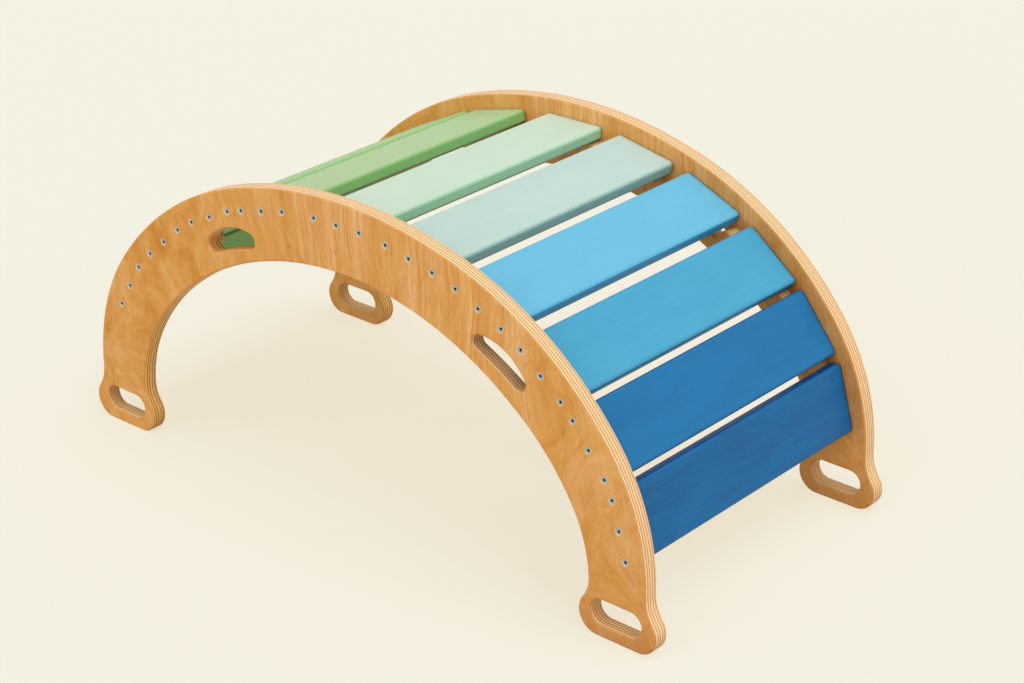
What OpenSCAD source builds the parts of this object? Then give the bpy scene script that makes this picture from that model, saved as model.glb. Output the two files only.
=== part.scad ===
// Rocker arch for children: two plywood side panels joined by painted slats.
// On its feet it is a bridge to climb over and crawl under. Turned over, it
// rocks on the curve of its panels.
//
// X runs along the arch, Y across it from the front panel to the rear one, and
// Z up. The origin is on the floor under the middle of the arch. Angles along
// the arch are measured from straight up, turning toward +X.

/* [Overall] */
// Length over the toes of the feet
arch_length = 950; // [900:5:1020]
// Height of the crown above the floor
arch_height = 428; // [415:1:470]
// Width over both side panels
arch_width = 460; // [360:5:600]
// Thickness of the side panels
panel_t = 21; // [18:1:27]

/* [Outer edge of a panel] */
// How far a toe stands out past the side of the arch
toe = 16; // [8:1:22]
// Radius of the edge over the haunches
haunch_r = 442; // [420:1:465]
// Radius of the edge down the sides
side_r = 281; // [265:1:300]
// Angle at which the crown turns into the haunch
crown_deg = 18; // [15:1:24]
// Angle at which the haunch turns into the side
haunch_deg = 52; // [48:1:56]

/* [Inner edge of a panel] */
// Height of a panel's band at the crown
band_crown = 91; // [86:1:100]
// Width of a panel's band at its sides
band_side = 83; // [76:1:90]
// Radius of the inner edge over the haunches
inner_haunch_r = 298; // [285:1:315]
// Radius of the inner edge down the sides
inner_side_r = 179; // [165:1:195]
// Angle at which the inner crown turns into the haunch
inner_crown_deg = 40; // [36:1:44]
// Angle at which the inner haunch turns into the side
inner_haunch_deg = 61; // [57:1:66]

/* [Feet] */
// How far a heel stands in past the inner edge
heel = 14; // [8:1:20]
// Radius of the toes and heels
foot_r = 27; // [24:1:30]
// Radius of the hollow above a toe
toe_blend_r = 56; // [45:1:75]
// Radius of the hollow above a heel
heel_blend_r = 45; // [35:1:55]

/* [Finger slots in the feet] */
// Length of a foot slot
foot_slot_length = 72; // [50:1:76]
// Height of a foot slot
foot_slot_height = 32; // [22:1:36]
// Wood left between a foot slot and the tip of the toe
foot_slot_setback = 22; // [16:1:28]
// Wood left under a foot slot
foot_slot_up = 17; // [12:1:24]

/* [Hand slots in the curve] */
// Length of a hand slot
hand_slot_length = 87; // [74:1:100]
// Width of a hand slot at its middle
hand_slot_width = 28; // [24:1:32]
// Radius of the ends of a hand slot
hand_slot_end_r = 10; // [7:0.5:11]
// Wood left between a hand slot and the inner edge
hand_slot_rim = 20; // [16:1:24]
// Angle of the front panel's left hand slot
hand_slot_left_deg = -24; // [-28:1:-20]
// Angle of the front panel's right hand slot
hand_slot_right_deg = 31; // [26:1:33]
// How many degrees flatter than the curve the left hand slot lies
hand_slot_left_flatter = 5; // [0:1:8]
// How many degrees flatter than the curve the right hand slot lies
hand_slot_right_flatter = 2; // [0:1:8]

/* [Slats] */
// Width of a slat
slat_w = 90; // [70:1:94]
// Thickness of a slat
slat_t = 18; // [15:1:21]
// Depth of the middle of a slat below the outer edge
slat_drop = 21; // [17:1:25]
// Radius along the long edges of a slat
slat_edge_r = 5; // [2:0.5:8]
// Radius of the four corners of a slat
slat_corner_r = 4; // [1:0.5:10]

/* [Ribs under the slats] */
// Thickness of a rib
rib_t = 21; // [15:1:27]
// Depth of a rib below the slats
rib_depth = 27; // [18:1:30]
// Gap between a hand slot and a rib on the crown
crown_rib_gap = 28; // [6:1:36]
// Gap between a hand slot and a front rib down the side
front_rib_gap = 28; // [6:1:36]
// Gap between a hand slot and a rear rib down the side
rear_rib_gap = 10; // [6:1:20]

/* [Screws] */
// Diameter of a screw's shank
screw_d = 4.5; // [3.5:0.5:6]
// Diameter of a screw's head
screw_head_d = 8.5; // [7.5:0.5:11]
// Length of a screw
screw_length = 60; // [45:5:80]
// Width across the flats of the socket in a head
socket_flats = 3.5; // [2:0.5:4]
// Depth of the socket in a head
socket_depth = 2.2; // [1.5:0.1:2.6]
// Depth of a head below the face of the panel
screw_sink = 0.6; // [0.2:0.1:1.5]
// Room between a screw and its hole, on the radius
screw_play = 0.1; // [0.05:0.05:0.3]
// Distance from the edge of a slat to its outer screws
screw_edge = 8; // [7:0.5:14]

/* [Hidden] */
// Places of the slats along the outer edge, in percent of the way from the crown
// down to where a side ends. The left end is left open as a way in.
slat_spots = [-75.4, -56.9, -39.1, -22.5, -1.4, 17.7, 36, 54, 70.5, 87.6];
slat_count = len(slat_spots);
slats = [for (i = [1:slat_count]) str("slat_", i < 10 ? "0" : "", i)];
screws = [for (s = slats) str("screws_", s)];
rib_ends = ["left", "crown", "right"];
front_ribs = [for (e = rib_ends) str("rib_front_", e)];
rear_ribs = [for (e = rib_ends) str("rib_rear_", e)];
$fn = 96;

birch = [0.86, 0.64, 0.38];
rib_birch = [0.80, 0.58, 0.34];
steel = [0.45, 0.50, 0.48];
// Paint of the slats, from the lowest on the left over the crown to the right
greens = [[0.33, 0.56, 0.29], [0.44, 0.66, 0.39], [0.57, 0.75, 0.52], [0.71, 0.82, 0.63]];
mint = [0.80, 0.89, 0.82];
blues = [[0.77, 0.86, 0.83], [0.45, 0.75, 0.90], [0.33, 0.66, 0.83], [0.19, 0.46, 0.70], [0.17, 0.41, 0.63]];
paints = concat(greens, [mint], blues);

// Room for a cut to run past the face that it opens
past = 1;
// Arcs that only touched would leave slivers, so each next arc of an edge is let
// out by this much more, as is a round that runs into one, and the two cross
let_out = 0.01;

// ---- Geometry of the two edges -------------------------------------------

// A step of length r in the direction a, measured from straight up
function step(r, a) = r * [sin(a), cos(a)];
// The point at distance ra from a and rb from b, to the left of the way from a to b
function meet(a, ra, b, rb) =
    let (d = norm(b - a), u = (b - a) / d, along = (ra*ra - rb*rb + d*d) / (2*d))
    a + along * u + sqrt(ra*ra - along*along) * [-u.y, u.x];
// The point at distance r from a, on the way to b
function toward(a, b, r) = a + r * (b - a) / norm(b - a);
function flip(p) = [-p.x, p.y];
function degrees(length, r) = length / r * 180 / PI;

// The right half of an edge, as [centre, radius, from, to] for the crown, the
// haunch and the side. The crown's radius is the one that makes the edge reach
// half_w to each side, where the side points straight down. The arcs lap a
// little where the wood of the other covers it.
function edge(half_w, top, r2, r3, a1, a2) =
    let (r1 = r2 + (half_w - r3 - (r2 - r3) * sin(a2)) / sin(a1),
         c1 = [0, top - r1], c2 = c1 + step(r1 - r2, a1), c3 = c2 + step(r2 - r3, a2),
         lap = 3)
    [[c1, r1, -a1, a1], [c2, r2, a1 - lap, a2], [c3, r3, a2 - lap, 90 + lap]];

outer_half = arch_length/2 - toe;
inner_half = outer_half - band_side;
outer = edge(outer_half, arch_height, haunch_r, side_r, crown_deg, haunch_deg);
inner = edge(inner_half, arch_height - band_crown, inner_haunch_r, inner_side_r,
             inner_crown_deg, inner_haunch_deg);
// Height at which an edge points straight down
function hip(e) = e[2][0].y;

crown_run = outer[0][1] * crown_deg * PI/180;
haunch_run = haunch_r * (haunch_deg - crown_deg) * PI/180;
side_run = side_r * (90 - haunch_deg) * PI/180;

// A length s along the outer edge, from the crown toward +X, is on this arc
function arc_at(s) = abs(s) < crown_run ? 0 : abs(s) < crown_run + haunch_run ? 1 : 2;
// and at this angle
function angle_at(s) =
    let (run = abs(s), a = [degrees(run, outer[0][1]),
                            crown_deg + degrees(run - crown_run, haunch_r),
                            haunch_deg + degrees(run - crown_run - haunch_run, side_r)][arc_at(s)])
    s < 0 ? -a : a;
// The point at a depth below the outer edge there
function point_at(s, depth) =
    let (arc = outer[arc_at(s)], a = abs(angle_at(s)), p = arc[0] + step(arc[1] - depth, a))
    s < 0 ? flip(p) : p;

module both_sides() {
    children();
    mirror([1, 0, 0]) children();
}

// The slice of a disc round an arc's centre, between the arc's two directions
module sector(arc, r) {
    intersection() {
        translate(arc[0]) circle(r);
        polygon([arc[0], arc[0] + step(2*arc[1], arc[2]), arc[0] + step(2*arc[1], arc[3])]);
    }
}

// Everything below an edge, or below a line that runs some depth inside it, down
// to a height
module under(e, floor_z, depth = 0) {
    half_w = e[2][0].x + e[2][1] - depth;
    core = e[2][0] + e[2][1]/2 * [1, 1];
    intersection() {
        union() {
            both_sides() for (k = [0:2]) sector(e[k], e[k][1] - depth + k*let_out);
            translate([-half_w, floor_z]) square([2*half_w, hip(e) - floor_z]);
            translate([-core.x, floor_z]) square([2*core.x, core.y - floor_z]);
        }
        translate([-half_w - past, floor_z]) square([2*(half_w + past), arch_height]);
    }
}

// ---- Side panels ----------------------------------------------------------

toe_end = [arch_length/2 - foot_r, foot_r];
heel_end = [inner_half - heel + foot_r, foot_r];

// The hollow above a toe touches the straight leg, or the side where the leg is
// too short for it
toe_leg_z = foot_r + sqrt(pow(foot_r + toe_blend_r, 2) - pow(outer_half + toe_blend_r - toe_end.x, 2));
toe_hollow = toe_leg_z < hip(outer)
    ? [outer_half + toe_blend_r, toe_leg_z]
    : meet(outer[2][0], side_r + toe_blend_r, toe_end, foot_r + toe_blend_r);
toe_top = toe_leg_z < hip(outer)
    ? [outer_half, toe_leg_z]
    : toward(outer[2][0], toe_hollow, side_r);
// and so does the one above a heel, inside the arch
heel_leg_z = foot_r + sqrt(pow(foot_r + heel_blend_r, 2) - pow(heel_end.x - inner_half + heel_blend_r, 2));
heel_hollow = heel_leg_z < hip(inner)
    ? [inner_half - heel_blend_r, heel_leg_z]
    : meet(inner[2][0], inner_side_r - heel_blend_r, heel_end, foot_r + heel_blend_r);
heel_top = heel_leg_z < hip(inner)
    ? [inner_half, heel_leg_z]
    : toward(inner[2][0], heel_hollow, inner_side_r);

module plate() {
    linear_extrude(panel_t) children();
}

// The wood between a hollow, the edge above it and the end of the foot, with a
// corner well inside the leg
module web(top, hollow, end, r) {
    difference() {
        polygon([toward(hollow, top, r + foot_r/2), hollow, end]);
        translate(hollow) circle(r + 3*let_out);
    }
}

module foot() {
    for (end = [toe_end, heel_end]) plate() translate(end) circle(foot_r);
    plate() translate([heel_end.x, 0]) square([toe_end.x - heel_end.x, 2*foot_r]);
    plate() web(toe_top, toe_hollow, toe_end, toe_blend_r);
    plate() web(heel_top, heel_hollow, heel_end, heel_blend_r);
}

module foot_slot() {
    half = foot_slot_length/2 - foot_slot_height/2;
    translate([arch_length/2 - foot_slot_setback - foot_slot_length/2, foot_slot_up + foot_slot_height/2]) {
        for (x = [-half, half]) translate([x, 0]) circle(foot_slot_height/2);
        translate([-half, -foot_slot_height/2]) square([2*half, foot_slot_height]);
    }
}

// A hand slot's lower side follows the inner edge, its upper side bulges, and
// two small rounds close its ends. Its frame's origin is the centre of the
// inner edge's crown, with the slot straight above it.
module hand_slot_at_top() {
    low_r = inner[0][1] + hand_slot_rim;
    end_x = hand_slot_length/2 - hand_slot_end_r;
    end_y = sqrt(pow(low_r + hand_slot_end_r, 2) - end_x*end_x);
    rise = low_r + hand_slot_width - end_y;
    high_r = (end_x*end_x + rise*rise - pow(hand_slot_end_r, 2)) / (2 * (rise - hand_slot_end_r));
    high = [0, low_r + hand_slot_width - high_r];
    end = [end_x, end_y];
    low_touch = toward([0, 0], end, low_r);
    high_touch = toward(high, end, high_r);
    both_sides() translate(end) circle(hand_slot_end_r + let_out);
    difference() {
        intersection() {
            translate(high) circle(high_r);
            polygon([low_touch, high_touch, [0, 2*low_r], flip(high_touch), flip(low_touch)]);
        }
        circle(low_r);
    }
}

module hand_slot(a, flatter) {
    middle = [0, inner[0][1] + hand_slot_rim + hand_slot_width/2];
    translate(inner[0][0]) rotate(-a) translate(middle) rotate(sign(a) * flatter)
        translate(-middle) hand_slot_at_top();
}

// A panel lying on its back
module panel() {
    difference() {
        union() {
            plate() difference() {
                under(outer, foot_r);
                under(inner, 0);
            }
            both_sides() foot();
        }
        translate([0, 0, -past]) linear_extrude(panel_t + 2*past) {
            both_sides() foot_slot();
            hand_slot(hand_slot_left_deg, hand_slot_left_flatter);
            hand_slot(hand_slot_right_deg, hand_slot_right_flatter);
        }
    }
}

// Stands up what lies on its back, with its lower face turned to the rear
module stand_up(y) {
    translate([0, y, 0]) rotate([90, 0, 0]) children();
}

front_y = -arch_width/2;
inner_y = front_y + panel_t;

// The panel as cut, in front and turned round to the rear, is drilled in place
module front_panel() {
    color(birch) difference() {
        stand_up(inner_y) panel();
        screw_holes();
    }
}

module rear_panel() {
    color(birch) difference() {
        rotate([0, 0, 180]) stand_up(inner_y) panel();
        mirror([0, 1, 0]) screw_holes();
    }
}

// ---- Slats ------------------------------------------------------------------

slat_length = arch_width - 2*panel_t;
function slat_s(i) = slat_spots[i]/100 * (crown_run + haunch_run + side_run);

// Puts the middle of a slat's top face at the origin, with the slat lying flat
module at_slat(i) {
    p = point_at(slat_s(i), slat_drop);
    translate([p.x, 0, p.y]) rotate([0, angle_at(slat_s(i)), 0]) children();
}

module rounded_rect(w, h, r) {
    for (x = [r - w/2, w/2 - r], y = [r - h/2, h/2 - r]) translate([x, y]) circle(r);
    square([w - 2*r, h], center = true);
    square([w, h - 2*r], center = true);
}

module slat(i) {
    color(paints[i]) difference() {
        at_slat(i) translate([0, 0, -slat_t/2]) intersection() {
            rotate([90, 0, 0]) linear_extrude(slat_length, center = true) rounded_rect(slat_w, slat_t, slat_edge_r);
            linear_extrude(slat_t, center = true) rounded_rect(slat_w, slat_length, slat_corner_r);
        }
        at_screws(i) screw_hole();
        mirror([0, 1, 0]) at_screws(i) screw_hole();
    }
}

// ---- Ribs under the slats -----------------------------------------------------

rib_top = slat_drop + slat_t;
rib_end_r = rib_depth/2;

// Length along the outer edge at which a hand slot's middle lies
function slot_s(a) =
    let (p = inner[0][0] + step(inner[0][1] + hand_slot_rim, abs(a)),
         v = p - outer[1][0], b = atan2(v.x, v.y))
    sign(a) * (crown_run + haunch_r * (b - crown_deg) * PI/180);

left_slot_s = slot_s(hand_slot_left_deg);
right_slot_s = slot_s(hand_slot_right_deg);
rib_first = slat_s(0) - slat_w/2 + rib_end_r;
rib_last = slat_s(slat_count - 1) + slat_w/2 - rib_end_r;
// The two ends of each rib, along the outer edge, between hand slots at a and b
function rib_spans(a, b, side_gap) =
    let (near = hand_slot_length/2 + rib_end_r + crown_rib_gap, far = near - crown_rib_gap + side_gap)
    [[rib_first, a - far], [a + near, b - near], [b + far, rib_last]];
front_spans = rib_spans(left_slot_s, right_slot_s, front_rib_gap);
rear_spans = rib_spans(-right_slot_s, -left_slot_s, rear_rib_gap);

// A stretch of the band around a rib, between two lengths along the outer edge
module stretch(span) {
    function at(t) = span[0] + t * (span[1] - span[0]);
    polygon(concat([for (t = [0:0.25:1]) point_at(at(t), rib_top - rib_depth)],
                   [for (t = [1:-0.25:0]) point_at(at(t), rib_top + 2*rib_depth)]));
}

module rib_outline(span) {
    for (s = span) translate(point_at(s, rib_top + rib_end_r)) circle(rib_end_r + 3*let_out);
    intersection() {
        difference() {
            under(outer, 0, rib_top);
            under(outer, -past, rib_top + rib_depth);
        }
        stretch(span);
    }
}

module rib(span, rear_y) {
    color(rib_birch) stand_up(rear_y) linear_extrude(rib_t) rib_outline(span);
}

// ---- Screws -------------------------------------------------------------------

screw_spots = [for (k = [-1:1]) k * (slat_w/2 - screw_edge)];
head_h = (screw_head_d - screw_d) / 2;

// Puts a screw's place at the origin, on the front face, with the screw along +Z
module at_screws(i) {
    for (x = screw_spots) at_slat(i) translate([x, front_y, -slat_t/2]) rotate([-90, 0, 0]) children();
}

module screw_hole() {
    translate([0, 0, -past]) cylinder(h = past + screw_sink, d = screw_head_d);
    translate([0, 0, screw_sink]) cylinder(h = head_h, d1 = screw_head_d, d2 = screw_d);
    cylinder(h = screw_sink + screw_length + past, d = screw_d + 2*screw_play);
}

module screw_holes() {
    for (i = [0:slat_count - 1]) at_screws(i) screw_hole();
}

module screw() {
    translate([0, 0, screw_sink]) difference() {
        union() {
            cylinder(h = head_h, d1 = screw_head_d, d2 = screw_d);
            cylinder(h = screw_length, d = screw_d);
        }
        translate([0, 0, -past]) cylinder(h = past + socket_depth, d = socket_flats / cos(30), $fn = 6);
    }
}

module slat_screws(i) {
    color(steel) {
        at_screws(i) screw();
        mirror([0, 1, 0]) at_screws(i) screw();
    }
}

// ---- Assembly -------------------------------------------------------------------

front_panel();  // side_panel_front
rear_panel();  // side_panel_rear
for (k = [0:2]) {
    rib(front_spans[k], inner_y + rib_t);
    rib(rear_spans[k], -inner_y);
}
for (i = [0:slat_count - 1]) {
    slat(i);
    slat_screws(i);
}
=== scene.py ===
"""Looks of the rocker arch: birch plywood side panels and ribs, painted slats, steel screws."""

import math

import bmesh
import bpy
import numpy as np
from mathutils import Matrix, Vector
from mathutils.geometry import tessellate_polygon

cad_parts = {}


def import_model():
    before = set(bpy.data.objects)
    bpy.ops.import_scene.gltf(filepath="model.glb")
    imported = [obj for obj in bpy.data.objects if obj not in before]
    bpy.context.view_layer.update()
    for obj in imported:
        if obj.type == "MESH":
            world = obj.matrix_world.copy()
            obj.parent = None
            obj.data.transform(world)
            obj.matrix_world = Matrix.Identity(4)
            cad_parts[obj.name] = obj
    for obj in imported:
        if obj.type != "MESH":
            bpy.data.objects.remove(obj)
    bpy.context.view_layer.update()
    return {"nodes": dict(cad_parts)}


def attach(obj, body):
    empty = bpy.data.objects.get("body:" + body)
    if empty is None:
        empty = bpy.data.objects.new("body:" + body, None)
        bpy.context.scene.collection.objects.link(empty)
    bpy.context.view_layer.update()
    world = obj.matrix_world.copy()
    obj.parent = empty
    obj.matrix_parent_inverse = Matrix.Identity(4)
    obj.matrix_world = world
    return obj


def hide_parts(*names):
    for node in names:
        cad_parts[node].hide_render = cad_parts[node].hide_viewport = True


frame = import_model()
nodes = frame["nodes"]

MM = 0.001

# ---- Sizes in millimetres and degrees, as in the CAD source --------------------------

ARCH_LENGTH, ARCH_HEIGHT, ARCH_WIDTH, PANEL_T = 950, 428, 460, 21
TOE, HAUNCH_R, SIDE_R, CROWN_DEG, HAUNCH_DEG = 16, 442, 281, 18, 52
BAND_CROWN, BAND_SIDE = 91, 83
INNER_HAUNCH_R, INNER_SIDE_R, INNER_CROWN_DEG, INNER_HAUNCH_DEG = 298, 179, 40, 61
HEEL, FOOT_R, TOE_BLEND_R, HEEL_BLEND_R = 14, 27, 56, 45
FOOT_SLOT_LENGTH, FOOT_SLOT_HEIGHT, FOOT_SLOT_SETBACK, FOOT_SLOT_UP = 72, 32, 22, 17
HAND_SLOT_LENGTH, HAND_SLOT_WIDTH, HAND_SLOT_END_R, HAND_SLOT_RIM = 87, 28, 10, 20
HAND_SLOT_DEGS, HAND_SLOT_FLATTER = (-24, 31), (5, 2)
# Places of the slats along the outer edge, in percent of its half
SLAT_SPOTS = (-75.4, -56.9, -39.1, -22.5, -1.4, 17.7, 36, 54, 70.5, 87.6)
SLAT_W, SLAT_T, SLAT_DROP, SLAT_EDGE_R, SLAT_CORNER_R = 90, 18, 21, 5, 4
SCREW_HEAD_D, SCREW_EDGE = 8.5, 8

# ---- What the eye sees and the solids leave out, in millimetres ----------------------

# The round on every edge of a panel
PANEL_ROUND = 3.0
# How far the rim of a slat's end is softened on its broad sides
SLAT_END_ROUND = 1.6
# The pit round a screw's head, and a thin ring that keeps its pale rim off the face
PIT_PLAY, PIT_RIM, PIT_DEPTH, PIT_MARGIN = 0.15, 0.45, 3.2, 0.05
# How much painted shade browns the walls of a panel's slots: both foot slots, then the left and
# right hand slot
SLOT_PAINTED_SHADE = (0.4, 0.4, 1.0, 0.0)

# The coarsest steps along an arc, in degrees and in millimetres, and the fewest
ARC_STEP_DEG, ARC_STEP, ARC_STEPS = 5, 4, 3
# Points nearer than this are one
SAME_POINT = 0.05
# Steps round an edge of a panel and round a corner of a slat, and degrees a step round a pit
PANEL_ROUND_STEPS, SLAT_ROUND_STEPS, PIT_STEP_DEG = 5, 6, 15

# ---- Outline of a side panel ---------------------------------------------------------


def step(r, a):
    """A step of length r at angle a, in degrees from straight up toward +X."""
    return r * np.array([math.sin(math.radians(a)), math.cos(math.radians(a))])


def turned(p, a):
    """A point turned by a degrees, from straight up toward +X."""
    c, s = math.cos(math.radians(a)), math.sin(math.radians(a))
    return p @ np.array([[c, -s], [s, c]])


def angle_to(a, b):
    """The angle of the way from a to b."""
    return math.degrees(math.atan2(b[0] - a[0], b[1] - a[1]))


def edge(half, top, r2, r3, a1, a2):
    """The crown, haunch and side arcs of one half of an edge, as (centre, radius, from, to)."""
    r1 = r2 + (half - r3 - (r2 - r3) * step(1, a2)[0]) / step(1, a1)[0]
    c1 = np.array([0, top - r1])
    c2 = c1 + step(r1 - r2, a1)
    c3 = c2 + step(r2 - r3, a2)
    return [(c1, r1, 0, a1), (c2, r2, a1, a2), (c3, r3, a2, 90)]


OUTER_HALF = ARCH_LENGTH / 2 - TOE
INNER_HALF = OUTER_HALF - BAND_SIDE
outer = edge(OUTER_HALF, ARCH_HEIGHT, HAUNCH_R, SIDE_R, CROWN_DEG, HAUNCH_DEG)
inner = edge(INNER_HALF, ARCH_HEIGHT - BAND_CROWN, INNER_HAUNCH_R, INNER_SIDE_R,
             INNER_CROWN_DEG, INNER_HAUNCH_DEG)


def arc(centre, r, a, b, out=1):
    """Points along an arc, each with the way out of the wood there: out is -1 for a hollow."""
    sweep = abs(b - a)
    count = max(ARC_STEPS, math.ceil(sweep / ARC_STEP_DEG),
                math.ceil(math.radians(sweep) * r / ARC_STEP))
    return [(centre + step(r, t), out * step(1, t)) for t in np.linspace(a, b, count + 1)]


def flipped(path):
    """A path mirrored left to right, and run the other way round so that it goes on."""
    return [(p * (-1, 1), n * (-1, 1)) for p, n in reversed(path)]


def joined(*paths):
    """One closed loop, without the points that two stretches share."""
    loop = []
    for p, n in sum(paths, []):
        if not loop or np.linalg.norm(p - loop[-1][0]) > SAME_POINT:
            loop.append((p, n))
    return loop[:-1] if np.linalg.norm(loop[0][0] - loop[-1][0]) < SAME_POINT else loop


def meet(a, ra, b, rb):
    """The point at distance ra from a and rb from b, to the left of the way from a to b."""
    d = np.linalg.norm(b - a)
    u = (b - a) / d
    along = (ra * ra - rb * rb + d * d) / (2 * d)
    return a + along * u + math.sqrt(ra * ra - along * along) * np.array([-u[1], u[0]])


def panel_outline():
    """The outer edge over the crown, round both feet, and back along the inner edge."""
    toe_end = np.array([ARCH_LENGTH / 2 - FOOT_R, FOOT_R])
    heel_end = np.array([INNER_HALF - HEEL + FOOT_R, FOOT_R])
    across = OUTER_HALF + TOE_BLEND_R - toe_end[0]
    toe_hollow = np.array([OUTER_HALF + TOE_BLEND_R,
                           FOOT_R + math.sqrt((FOOT_R + TOE_BLEND_R) ** 2 - across ** 2)])
    heel_hollow = meet(inner[2][0], INNER_SIDE_R - HEEL_BLEND_R, heel_end, FOOT_R + HEEL_BLEND_R)
    to_toe, to_heel = angle_to(toe_hollow, toe_end), angle_to(heel_hollow, heel_end)
    heel_top = angle_to(inner[2][0], heel_hollow)
    half = [p for c, r, a, b in outer for p in arc(c, r, a, b)]
    half += arc(toe_hollow, TOE_BLEND_R, -90, to_toe, -1)
    half += arc(toe_end, FOOT_R, to_toe + 180, 180)
    half += arc(heel_end, FOOT_R, 180, to_heel + 180)
    half += arc(heel_hollow, HEEL_BLEND_R, to_heel, heel_top, -1)
    half += arc(inner[2][0], INNER_SIDE_R, heel_top, INNER_HAUNCH_DEG, -1)
    half += [p for c, r, a, b in inner[1::-1] for p in arc(c, r, b, a, -1)]
    return joined(half, flipped(half))


def foot_slot(side):
    """A long slot with half-round ends, in the right foot or, with side -1, the left."""
    r = FOOT_SLOT_HEIGHT / 2
    middle = np.array([ARCH_LENGTH / 2 - FOOT_SLOT_SETBACK - FOOT_SLOT_LENGTH / 2,
                       FOOT_SLOT_UP + r])
    reach = np.array([FOOT_SLOT_LENGTH / 2 - r, 0])
    loop = joined(arc(middle + reach, r, 0, 180, -1), arc(middle - reach, r, 180, 360, -1))
    return loop if side > 0 else flipped(loop)


def hand_slot(turn, flatter):
    """A slot that follows the inner crown. It is set turn degrees to the side of the middle,
    and tilted by flatter degrees less."""
    low_r = inner[0][1] + HAND_SLOT_RIM
    end = np.array([HAND_SLOT_LENGTH / 2 - HAND_SLOT_END_R, 0])
    end[1] = math.sqrt((low_r + HAND_SLOT_END_R) ** 2 - end[0] ** 2)
    rise = low_r + HAND_SLOT_WIDTH - end[1]
    high_r = (end[0] ** 2 + rise * rise - HAND_SLOT_END_R ** 2) / (2 * (rise - HAND_SLOT_END_R))
    high = np.array([0, low_r + HAND_SLOT_WIDTH - high_r])
    centre = np.zeros(2)
    up, low = angle_to(high, end), angle_to(centre, end)
    half = arc(high, high_r, 0, up, -1)
    half += arc(end, HAND_SLOT_END_R, up, low + 180, -1)
    half += arc(centre, low_r, low, 0)
    middle = np.array([0, low_r + HAND_SLOT_WIDTH / 2])
    at = inner[0][0] + turned(middle, turn)
    tilt = turn - math.copysign(flatter, turn)
    return [(at + turned(p - middle, tilt), turned(n, tilt))
            for p, n in joined(half, flipped(half))]


# ---- Places along the outer edge -----------------------------------------------------

RUNS = [math.radians(b - a) * r for _, r, a, b in outer]


def place(s, depth):
    """Point at a depth below the outer edge, s along it from the crown, and the edge's angle."""
    left, k = abs(s), 0
    while k < 2 and left > RUNS[k]:
        left, k = left - RUNS[k], k + 1
    c, r, a, _ = outer[k]
    a += math.degrees(left / r)
    p = c + step(r - depth, a)
    return (p, a) if s >= 0 else (p * (-1, 1), -a)


def slat_place(i):
    """The middle of a slat's upper face, and the slat's tilt."""
    return place(SLAT_SPOTS[i] / 100 * sum(RUNS), SLAT_DROP)


def screw_places():
    """Three screws to a slat, at mid thickness."""
    for i in range(len(SLAT_SPOTS)):
        p, a = slat_place(i)
        for x in (-1, 0, 1):
            yield p + step(x * (SLAT_W / 2 - SCREW_EDGE), a + 90) - step(SLAT_T / 2, a)


# ---- Meshes --------------------------------------------------------------------------


class Surface:
    """Points with their own shading normals, and the faces between them.

    Each point also has two values for the materials. Its side value is 1 on a slat's narrow
    sides and ends, which take painted light and shade, and in a screw's pit. Its shade value says
    how much painted shade browns a panel's cut edge, and on a slat it is above 0 along the lower
    long edges, which take painted shade, and below 0 along the upper ones, which take a painted
    highlight."""

    def __init__(self):
        self.points, self.normals, self.faces, self.sides, self.shades = [], [], [], [], []

    def ring(self, points, normals, sides=None, shades=None):
        """Add a ring of points, and give back their numbers."""
        start = len(self.points)
        self.points += [tuple(p) for p in points]
        self.normals += [tuple(n) for n in normals]
        self.sides += sides or [0.0] * len(points)
        self.shades += shades or [0.0] * len(points)
        return list(range(start, len(self.points)))

    def bands(self, rings):
        """Faces between each ring and the next."""
        for a, b in zip(rings, rings[1:]):
            for k in range(len(a)):
                n = (k + 1) % len(a)
                self.faces.append((a[k], a[n], b[n], b[k]))

    def fill(self, rings):
        """A flat cap inside the first ring and outside the others."""
        loops = [[Vector(self.points[i]) for i in r] for r in rings]
        flat = sum(rings, [])
        self.faces += [tuple(flat[i] for i in t) for t in tessellate_polygon(loops)]

    def made(self, name, material, turn=0):
        """The piece of this surface, turned about the vertical, on the arch's one body."""
        mesh = bpy.data.meshes.new(name)
        mesh.from_pydata([tuple(c * MM for c in p) for p in self.points], [], self.faces)
        bm = bmesh.new()
        bm.from_mesh(mesh)
        bmesh.ops.recalc_face_normals(bm, faces=bm.faces)
        bm.to_mesh(mesh)
        bm.free()
        normals = [Vector(n).normalized() for n in self.normals]
        if turn:
            matrix = Matrix.Rotation(math.radians(turn), 4, "Z")
            mesh.transform(matrix)
            normals = [matrix @ n for n in normals]
        mesh.shade_smooth()
        mesh.normals_split_custom_set_from_vertices(normals)
        for key, values in (("side", self.sides), ("shade", self.shades)):
            mesh.attributes.new(key, "FLOAT", "POINT").data.foreach_set("value", values)
        mesh.materials.append(material)
        piece = bpy.data.objects.new(name, mesh)
        bpy.context.scene.collection.objects.link(piece)
        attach(piece, "root")
        return piece


def rounding(r, steps):
    """(inset, depth, cos, sin) from the flat face round to the side, r in from each."""
    for k in range(steps + 1):
        t = math.pi / 2 * k / steps
        yield r * (1 - math.sin(t)), r * (1 - math.cos(t)), math.cos(t), math.sin(t)


def painted_cut_shade(k, loop):
    """Painted shade on the cut edge at each point of a panel's loop: how much browner it is drawn,
    most on the outline's inner side.
    """
    if k:
        return [SLOT_PAINTED_SHADE[k - 1]] * len(loop)
    return [min(1.0, max(0.0, -2 * p @ n / np.linalg.norm(p))) for p, n in loop]


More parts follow.
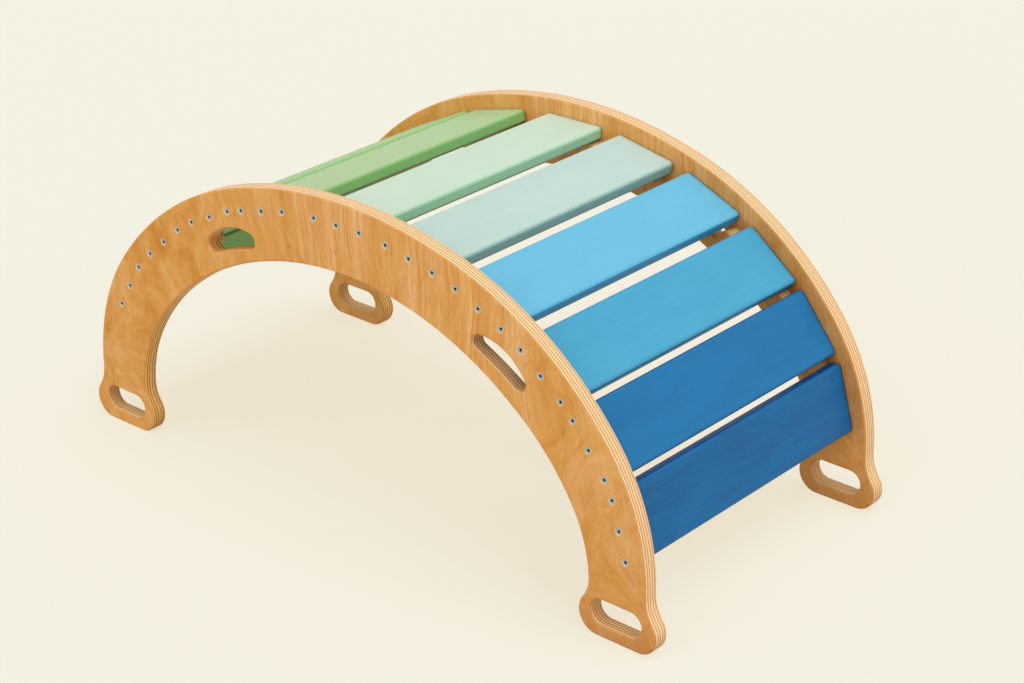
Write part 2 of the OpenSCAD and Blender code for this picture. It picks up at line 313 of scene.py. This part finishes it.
def pit(s, p, front):
    """Add a screw's pit to a panel's front face, and give back the ring round its mouth."""
    wall = SCREW_HEAD_D / 2 + PIT_PLAY
    rim = wall + PIT_RIM
    ways = [step(1, a) for a in range(0, 360, PIT_STEP_DEG)]
    rings = []
    for r, deep, flat, pale in ((rim + PIT_MARGIN, 0, 1, 0.0), (rim, 0, 1, 1.0),
                                (wall, PIT_RIM, 0, 1.0), (wall, PIT_DEPTH, 0, 1.0)):
        rings.append(s.ring([(p[0] + r * w[0], front + deep, p[1] + r * w[1]) for w in ways],
                            [((flat - 1) * w[0], -flat, (flat - 1) * w[1]) for w in ways],
                            [pale] * len(ways)))
    s.bands(rings)
    s.faces.append(tuple(rings[-1]))
    return rings[0]


def plate(name, loops, pits, material, turn):
    """A panel whose edges are rounded, with pits for the screw heads in its outer face.

    It is made in the front panel's place, and turn brings it round to its own."""
    s = Surface()
    front = -ARCH_WIDTH / 2
    caps = [], []
    for k, loop in enumerate(loops):
        shades = painted_cut_shade(k, loop)
        rings = []
        for face, y, way in ((0, front, 1), (1, front + PANEL_T, -1)):
            half = []
            for inset, deep, flat, side in rounding(PANEL_ROUND, PANEL_ROUND_STEPS):
                points = [(p[0] - inset * n[0], y + way * deep, p[1] - inset * n[1])
                          for p, n in loop]
                normals = [(side * n[0], -way * flat, side * n[1]) for _, n in loop]
                half.append(s.ring(points, normals, shades=shades))
            caps[face].append(half[0])
            rings += half if face == 0 else half[::-1]
        s.bands(rings)
    caps[0].extend(pit(s, p, front) for p in pits)
    for rings in caps:
        s.fill(rings)
    return s.made(name, material, turn)


def corner_ways():
    """The directions round a rounded rectangle, with the corner that each belongs to."""
    for k, (sx, sz) in enumerate(((1, 1), (1, -1), (-1, -1), (-1, 1))):
        for j in range(SLAT_ROUND_STEPS + 1):
            yield sx, sz, step(1, 90 * k + 90 * j / SLAT_ROUND_STEPS)


def slat(name, i, material):
    """A slat with rounded long edges, and corners and end rims softened."""
    top, a = slat_place(i)
    across, up = step(1, a + 90), step(1, a)
    end = ARCH_WIDTH / 2 - PANEL_T
    ways = list(corner_ways())
    softened = list(rounding(SLAT_CORNER_R, SLAT_ROUND_STEPS))
    s = Surface()
    rings = []
    for y_end, way, ordered in ((-end, 1, softened), (end, -1, softened[::-1])):
        for inset, deep, flat, side in ordered:
            w = SLAT_W / 2 - inset
            h = SLAT_T / 2 - inset * SLAT_END_ROUND / SLAT_CORNER_R
            points, normals, sides, shades = [], [], [], []
            for sx, sz, q in ways:
                x = sx * (w - SLAT_EDGE_R) + SLAT_EDGE_R * q[0]
                z = sz * (h - SLAT_EDGE_R) + SLAT_EDGE_R * q[1] - SLAT_T / 2
                p = top + x * across + z * up
                n = side * (q[0] * across + q[1] * up)
                points.append((p[0], y_end + way * deep, p[1]))
                normals.append((n[0], -way * flat, n[1]))
                sides.append(max(q[0] ** 2, flat))
                shades.append(-2 * q[1] * abs(q[0]))
            rings.append(s.ring(points, normals, sides, shades))
    s.bands(rings)
    s.faces += [tuple(rings[0]), tuple(rings[-1])]
    return s.made(name, material)


# ---- Materials -----------------------------------------------------------------------


def srgb(r, g, b):
    """A colour from its 8-bit values, as a node takes it."""
    def linear(c):
        c /= 255
        return c / 12.92 if c <= 0.04045 else ((c + 0.055) / 1.055) ** 2.4
    return (linear(r), linear(g), linear(b), 1)


class Graph:
    """The nodes of a material or world. Each method adds some and gives back their output."""

    def __init__(self, owner):
        self.owner = owner
        owner.use_nodes = True
        self.tree = owner.node_tree
        self.tree.nodes.clear()

    def node(self, kind, sockets, out=0, **settings):
        n = self.tree.nodes.new(kind)
        for key, value in settings.items():
            setattr(n, key, value)
        for key, value in sockets.items():
            if isinstance(value, bpy.types.NodeSocket):
                self.tree.links.new(value, n.inputs[key])
            else:
                n.inputs[key].default_value = value
        return n.outputs[out] if n.outputs else None

    def math(self, operation, *values):
        return self.node("ShaderNodeMath", dict(enumerate(values)), operation=operation)

    def plus(self, a, b):
        return self.math("ADD", a, b)

    def times(self, first, *others):
        for value in others:
            first = self.math("MULTIPLY", first, value)
        return first

    def vector(self, operation, *values):
        return self.node("ShaderNodeVectorMath", dict(enumerate(values)), operation=operation)

    def place(self):
        """The place on the arch, in metres."""
        return self.node("ShaderNodeTexCoord", {}, "Object")

    def split(self, vector):
        return self.node("ShaderNodeSeparateXYZ", {0: vector}).node.outputs

    def attribute(self, name):
        return self.node("ShaderNodeAttribute", {}, "Fac", attribute_name=name)

    def noise(self, vector, scale, detail=2.0, roughness=0.5, out=0):
        return self.node("ShaderNodeTexNoise", {"Vector": vector, "Scale": scale, "Detail": detail,
                                                "Roughness": roughness}, out)

    def figure(self, vector, waves, detail=2.0, roughness=0.5):
        """Noise with so many waves to the metre along X, Y and Z."""
        return self.noise(self.vector("MULTIPLY", vector, waves), 1, detail, roughness)

    def drift(self, vector, scale):
        """A random way for each place, round zero."""
        return self.vector("SUBTRACT", self.noise(vector, scale, out=1), (0.5, 0.5, 0.5))

    def pushed(self, vector, way, much):
        """A place moved along a way, by so much in X, Y and Z."""
        return self.vector("ADD", vector, self.vector("MULTIPLY", way, much))

    def levels(self, value, low, high, to_low=0.0, to_high=1.0):
        return self.node("ShaderNodeMapRange", {"Value": value, "From Min": low, "From Max": high,
                                                "To Min": to_low, "To Max": to_high})

    def mix(self, factor, a, b, blend="MIX"):
        return self.node("ShaderNodeMix", {0: factor, 6: a, 7: b}, 2,
                         data_type="RGBA", blend_type=blend)

    def tint(self, factor, colour, red, green, blue):
        """A colour times the three shares, as far as the factor says."""
        return self.mix(factor, colour, (red, green, blue, 1), "MULTIPLY")

    def ramp(self, value, stops):
        n = self.tree.nodes.new("ShaderNodeValToRGB")
        self.tree.links.new(value, n.inputs[0])
        parts = n.color_ramp.elements
        while len(parts) < len(stops):
            parts.new(1)
        for part, (at, colour) in zip(parts, stops):
            part.position, part.color = at, colour
        return n.outputs[0]

    def bump(self, height, distance, strength):
        return self.node("ShaderNodeBump", {"Height": height, "Distance": distance,
                                            "Strength": strength})

    def seen(self):
        """1 for what the camera, gloss and glass see, and 0 for light on its way."""
        path = self.node("ShaderNodeLightPath", {}).node.outputs
        eye = self.math("MAXIMUM", path["Is Camera Ray"], path["Is Glossy Ray"])
        return self.math("MAXIMUM", eye, path["Is Transmission Ray"])

    def finish(self, sockets):
        """The finished material, with these sockets on its shader."""
        shader = self.node("ShaderNodeBsdfPrincipled", sockets)
        self.node("ShaderNodeOutputMaterial", {"Surface": shader})
        return self.owner


# Where the veneer's figure and tone change on the left and right of the crown, in metres along X
LEFT_TURN, RIGHT_TURN = (-0.30, -0.04), (0.20, 0.38)
# Depths within a board, 0 at its middle and 1 on its faces: where its cut edge gives way to
# the face veneer, and the stops between its light plies and the dark lines, with their darkness
CUT_TO_FACE = (0.89, 0.94)
PLIES = ((0.00, 0.25), (0.04, 0), (0.13, 0), (0.17, 1), (0.26, 1), (0.30, 0),
         (0.53, 0.25), (0.57, 1), (0.66, 1), (0.70, 0), (0.84, 0), (0.89, 1))
# How far round a point the painted shade looks for nearby parts, in metres
PAINTED_SHADE_REACH = 0.1


def ply_depth(g, p, y):
    """Depth within a board, wandering a little. The boards lie one against the next across
    the arch, so one rule serves panels and ribs."""
    first = (ARCH_WIDTH / 2 - 2 * PANEL_T) * MM
    boards = g.math("DIVIDE", g.math("SUBTRACT", g.math("ABSOLUTE", y), first), PANEL_T * MM)
    middle = g.math("ABSOLUTE", g.math("SUBTRACT", g.math("FRACT", boards), 0.5))
    wander = g.levels(g.noise(p, 16, 3), 0, 1, -0.06, 0.06)
    return g.plus(g.times(middle, 2), wander)


def growth_rings(g, field, count, sharp):
    """Lines that darken slowly and end fast, where a noise is cut at even heights."""
    turns = g.math("FRACT", g.times(field, count))
    return g.times(g.math("POWER", turns, sharp), g.levels(turns, 0.94, 1.0, 1.0, 0.0))


def face_veneer(g, p, x, z):
    """Rotary-cut face veneer: its colour, its streaks and its flecks.

    The grain stands upright round the crown, and swirls and calms down toward the legs."""
    flat = g.vector("MULTIPLY", p, (1, 0, 1))
    calm = g.plus(g.levels(x, *LEFT_TURN, 1.0, 0.0), g.levels(x, *RIGHT_TURN, 0.0, 0.8))
    lean = g.times(calm, 0.45, g.math("SUBTRACT", z, 0.25))
    leaning = g.vector("ADD", flat, g.node("ShaderNodeCombineXYZ", {0: lean}))
    broad_drift, small_drift = g.drift(flat, 4.5), g.drift(flat, 26)
    swirl = g.pushed(leaning, broad_drift, (0.045, 0, 0.20))
    upright = g.pushed(swirl, small_drift, (0.005, 0, 0.024))
    loose = g.pushed(g.pushed(flat, broad_drift, (0.34, 0, 0.34)), small_drift, (0.03, 0, 0.03))

    # Rings where the cut runs out of a growth ring: upright at the crown, flames at the legs
    upright_rings = growth_rings(g, g.figure(upright, (11, 0, 2.6)), 16, 3)
    upright_rings = g.times(upright_rings, g.levels(calm, 0.0, 1.0, 0.6, 0.0))
    flames = growth_rings(g, g.figure(loose, (13, 0, 6)), 15, 5)
    flames = g.times(flames, g.times(calm, g.levels(x, -0.1, 0.2, 0.7, 0.6)))
    some_places = g.levels(g.noise(flat, 19), 0.40, 0.62)
    rings = g.times(g.plus(upright_rings, flames), some_places)

    streak = g.figure(upright, (190, 0, 8), 4, 0.6)
    fleck = g.levels(g.figure(upright, (480, 0, 50), 2, 0.6), 0.54, 0.70)
    tufts = g.mix(calm, streak, g.figure(loose, (46, 0, 22), 4, 0.62))
    clouds = g.mix(calm, g.figure(swirl, (30, 0, 5)), g.figure(loose, (9, 0, 5)))
    tone = g.plus(g.times(clouds, 0.5), g.times(tufts, 0.5))
    colour = g.ramp(tone, [(0.36, srgb(203, 131, 46)), (0.46, srgb(216, 153, 73)),
                           (0.54, srgb(223, 166, 92)), (0.64, srgb(233, 183, 118))])
    colour = g.mix(g.times(rings, 0.6), colour, srgb(186, 112, 34))
    colour = g.mix(g.times(fleck, 0.42), colour, srgb(178, 106, 40))
    # Paler from the crown on to the right, and a little deeper down the legs
    colour = g.tint(g.levels(x, *LEFT_TURN), colour, 1.04, 1.09, 1.34)
    low = g.times(g.levels(z, 0.26, 0.10), g.levels(x, -0.1, 0.1, 0.4, 1.0))
    colour = g.tint(low, colour, 0.94, 0.91, 0.86)
    return g.mix(g.attribute("side"), colour, srgb(255, 234, 200)), streak, fleck


def cut_edge(g, p, depth):
    """Light plies with darker lines between them, drawn browner by painted shade on the outline's
    inner edge and in the slots: the colour, and the noise along the plies."""
    along = g.figure(p, (110, 1700, 110), 3, 0.6)
    ends = g.figure(p, (800, 700, 800), 2, 0.6)
    # Painted shade: where the shade value says, the plies are drawn browner
    painted_inward_shade = g.attribute("shade")
    light = g.mix(along, srgb(244, 202, 144), srgb(255, 234, 194))
    light = g.mix(painted_inward_shade, light, srgb(255, 206, 124))
    dark = g.mix(ends, srgb(184, 110, 44), srgb(212, 144, 76))
    dark = g.mix(painted_inward_shade, dark, srgb(186, 106, 40))
    plies = g.ramp(depth, [(at, (share, share, share, 1)) for at, share in PLIES])
    return g.mix(plies, light, dark), along


def plywood():
    """Birch plywood, with painted shade that deepens its colour where nearby parts close it in."""
    g = Graph(bpy.data.materials.new("birch_plywood"))
    p = g.place()
    x, y, z = g.split(p)
    depth = ply_depth(g, p, y)
    face, streak, fleck = face_veneer(g, p, x, z)
    cut, along = cut_edge(g, p, depth)
    painted_shade_ao = g.node("ShaderNodeAmbientOcclusion", {"Distance": PAINTED_SHADE_REACH}, "AO", samples=8)
    # Painted shade: cut edges in hollows, and the face near the slats right of the crown, are
    # drawn darker
    cut = g.tint(g.levels(painted_shade_ao, 0.15, 0.80, 0.55, 0.0), cut, 0.56, 0.42, 0.20)
    painted_shade_near_parts = g.times(g.levels(painted_shade_ao, 0.35, 0.90, 1.0, 0.0), g.levels(x, 0.05, 0.30))
    face = g.tint(painted_shade_near_parts, face, 0.74, 0.62, 0.58)
    relief = g.plus(g.times(fleck, 0.5), g.times(along, 0.4))
    return g.finish({"Base Color": g.mix(g.levels(depth, *CUT_TO_FACE), cut, face),
                     "Roughness": g.levels(streak, 0.3, 0.7, 0.42, 0.52),
                     "Specular IOR Level": 0.2,
                     "Normal": g.bump(relief, 0.0002, 0.4)})


def paint(name, colour, deep, side, figure, shine):
    """Satin paint on wood, thin enough for the grain along a slat to show.

    deep is the tone in the grain, and side the one that the narrow sides and the ends take up,
    painted lighter or darker than the top for how the light falls on them. figure says how much
    the grain shows, and shine how much a painted highlight lightens the upper long edges."""
    g = Graph(bpy.data.materials.new(name))
    p = g.place()
    q = g.pushed(p, g.drift(p, 7), (0.02, 0.04, 0.02))
    grain = g.figure(q, (170, 14, 170), 4, 0.65)
    broad = g.figure(q, (22, 7, 22), 3, 0.55)
    tone = g.plus(g.times(grain, 0.4), g.times(broad, 0.6))
    tinted = g.mix(g.levels(tone, 0.40, 0.62, figure, 0.0), srgb(*colour), srgb(*deep))
    # Painted light and shade: the narrow sides and ends take the side colour in place of shading
    tinted = g.mix(g.attribute("side"), tinted, srgb(*side))
    # Painted shade darkens the lower long edges, and a painted highlight lightens the upper ones
    painted_edge_light = g.attribute("shade")
    tinted = g.tint(g.levels(painted_edge_light, 0.30, 0.90, 0.0, 0.8), tinted, 0.30, 0.30, 0.30)
    tinted = g.tint(g.levels(painted_edge_light, -0.70, -0.98, 0.0, shine), tinted, 1.5, 1.22, 1.14)
    return g.finish({"Base Color": tinted,
                     "Roughness": g.levels(broad, 0.3, 0.7, 0.38, 0.48),
                     "Specular IOR Level": 0.25,
                     "Normal": g.bump(grain, 0.00015, 0.35)})


# Depths below a panel's outer face between which a screw's steel gives way to painted shade in its
# socket
SOCKET_SHADE_START, SOCKET_SHADE_FULL = 0.0008, 0.0014


def steel():
    """Mottled screw steel, with painted shade down in the sockets."""
    g = Graph(bpy.data.materials.new("screw_steel"))
    p = g.place()
    mottle = g.noise(p, 900, 3, 0.6)
    sunk = g.math("SUBTRACT", ARCH_WIDTH / 2 * MM, g.math("ABSOLUTE", g.split(p)[1]))
    colour = g.mix(mottle, srgb(142, 154, 156), srgb(192, 202, 202))
    # Painted shade: the socket is drawn near black
    colour = g.mix(g.levels(sunk, SOCKET_SHADE_START, SOCKET_SHADE_FULL), colour, srgb(16, 24, 32))
    return g.finish({"Base Color": colour, "Metallic": 0.85,
                     "Roughness": g.levels(mottle, 0.3, 0.7, 0.30, 0.45)})


# ---- The arch ------------------------------------------------------------------------


def dress(piece, material):
    """Give one of the CAD's own nodes this material in place of its own."""
    piece.data.materials.clear()
    piece.data.materials.append(material)


birch = plywood()
openings = [foot_slot(1), foot_slot(-1)]
openings += [hand_slot(*slot) for slot in zip(HAND_SLOT_DEGS, HAND_SLOT_FLATTER)]
# The rear panel is the front one turned end for end, so its pits are mirrored beforehand
for side, turn, way in (("front", 0, 1), ("rear", 180, -1)):
    pits = [p * (way, 1) for p in screw_places()]
    panel = plate("panel_" + side, [panel_outline(), *openings], pits, birch, turn)
    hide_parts("side_panel_" + side)

for name, piece in nodes.items():
    if name.startswith("rib_"):
        dress(piece, birch)

# A row for each slat from left to right: the rest of what paint() asks for, and the slot. A row's
# third colour, for the sides, is painted light and shade.
PAINTS = (
    ((120, 192, 98), (104, 178, 82), (160, 204, 134), 0.4, 0.1, "paint_deep_green"),
    ((138, 200, 116), (122, 186, 100), (150, 202, 126), 0.4, 0.1, "paint_leaf_green"),
    ((162, 200, 144), (146, 188, 126), (138, 190, 116), 0.4, 0.1, "paint_soft_green"),
    ((174, 203, 152), (160, 192, 136), (130, 184, 112), 0.4, 0.1, "paint_light_green"),
    ((200, 222, 202), (188, 213, 190), (158, 212, 176), 0.4, 0.1, "paint_mint"),
    ((190, 213, 206), (178, 204, 196), (134, 182, 178), 0.4, 0.1, "paint_grey_green"),
    ((107, 188, 221), (94, 178, 213), (36, 150, 200), 0.4, 1.0, "paint_light_blue"),
    ((74, 166, 204), (62, 154, 193), (10, 122, 172), 0.4, 1.0, "paint_sky_blue"),
    ((24, 117, 175), (14, 102, 160), (2, 84, 146), 0.5, 1.0, "paint_blue"),
    ((10, 107, 167), (4, 86, 144), (2, 68, 126), 0.7, 1.0, "paint_dark_blue"),
)
for i, (*look, slot) in enumerate(PAINTS):
    node = f"slat_{i + 1:02d}"
    piece = slat(node + "_painted", i, paint(slot, *look))
    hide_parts(node)

metal = steel()
for name, piece in nodes.items():
    if name.startswith("screws_"):
        dress(piece, metal)

# ---- Floor, light and camera ---------------------------------------------------------

BACKDROP = srgb(245, 241, 226)
# The floor's length and width in metres
FLOOR_SIZE = 60
# How much of the floor's brightness the shade can take away, in red, green and blue
FLOOR_SHADE = (0.13, 0.22, 0.31)
# World and lamps together light a white floor to about 1.08, and this takes it back to 1
FLOOR_LEVEL = 0.93
# The floor's colour in the light that it throws back on the arch
FLOOR_BOUNCE = (0.65, 0.55, 0.42, 1)
WORLD_COLOUR, WORLD_STRENGTH = (1, 0.99, 0.97, 1), 0.5


def floor():
    """A pale sheet that keeps a faint warm shadow, otherwise as bright as the backdrop."""
    bpy.ops.mesh.primitive_plane_add(size=FLOOR_SIZE)
    plane = bpy.context.object
    plane.name = "floor"
    g = Graph(bpy.data.materials.new("floor_paper"))
    lit = [b * share * FLOOR_LEVEL for b, share in zip(BACKDROP, FLOOR_SHADE)]
    steady = [b * (1 - share) for b, share in zip(BACKDROP, FLOOR_SHADE)]
    shaded = g.node("ShaderNodeBsdfDiffuse", {"Color": (*lit, 1)})
    glow = g.node("ShaderNodeEmission", {"Color": (*steady, 1)})
    sheet = g.node("ShaderNodeAddShader", {0: shaded, 1: glow})
    bounce = g.node("ShaderNodeBsdfDiffuse", {"Color": FLOOR_BOUNCE})
    look = g.node("ShaderNodeMixShader", {0: g.seen(), 1: bounce, 2: sheet})
    g.node("ShaderNodeOutputMaterial", {"Surface": look})
    plane.data.materials.append(g.owner)


def world():
    """Even light from all round, in which the camera, gloss and glass see the pale backdrop."""
    g = Graph(bpy.data.worlds.new("studio"))
    light = g.node("ShaderNodeBackground", {"Color": WORLD_COLOUR, "Strength": WORLD_STRENGTH})
    back = g.node("ShaderNodeBackground", {"Color": BACKDROP})
    look = g.node("ShaderNodeMixShader", {0: g.seen(), 1: light, 2: back})
    g.node("ShaderNodeOutputWorld", {"Surface": look})
    bpy.context.scene.world = g.owner


def sun(name, toward, strength, spread):
    """A soft lamp that shines from the direction toward, its disc spread degrees wide."""
    lamp = bpy.data.lights.new(name, "SUN")
    lamp.energy, lamp.angle = strength, math.radians(spread)
    holder = bpy.data.objects.new(name, lamp)
    holder.rotation_euler = Vector(toward).to_track_quat("Z", "Y").to_euler()
    bpy.context.scene.collection.objects.link(holder)


# The camera that took the picture, solved from the panels' outlines: its place in metres, the
# three ways that it has as its right, down and ahead, and its lens and sensor in millimetres
CAMERA_AT = (1.865, -2.0726, 1.4926)
RIGHT = (0.75572, 0.65489, -0.00291)
DOWN = (0.27914, -0.32614, -0.90317)
AHEAD = (-0.59242, 0.68173, -0.42927)
LENS, SENSOR = 85.41, 36


def camera():
    """The solved camera, made the scene's own."""
    lens = bpy.data.cameras.new("camera")
    lens.sensor_fit, lens.sensor_width, lens.lens = "HORIZONTAL", SENSOR, LENS
    holder = bpy.data.objects.new("camera", lens)
    turn = Matrix((RIGHT, [-c for c in DOWN], [-c for c in AHEAD])).transposed()
    holder.matrix_world = Matrix.Translation(CAMERA_AT) @ turn.to_4x4()
    bpy.context.scene.collection.objects.link(holder)
    bpy.context.scene.camera = holder


floor()
world()
sun("key", (0.50, 0.0, 0.87), 1.6, 50)
sun("fill", (-0.15, -0.93, 0.35), 1.25, 70)
camera()
bpy.context.scene.view_settings.view_transform = "Standard"
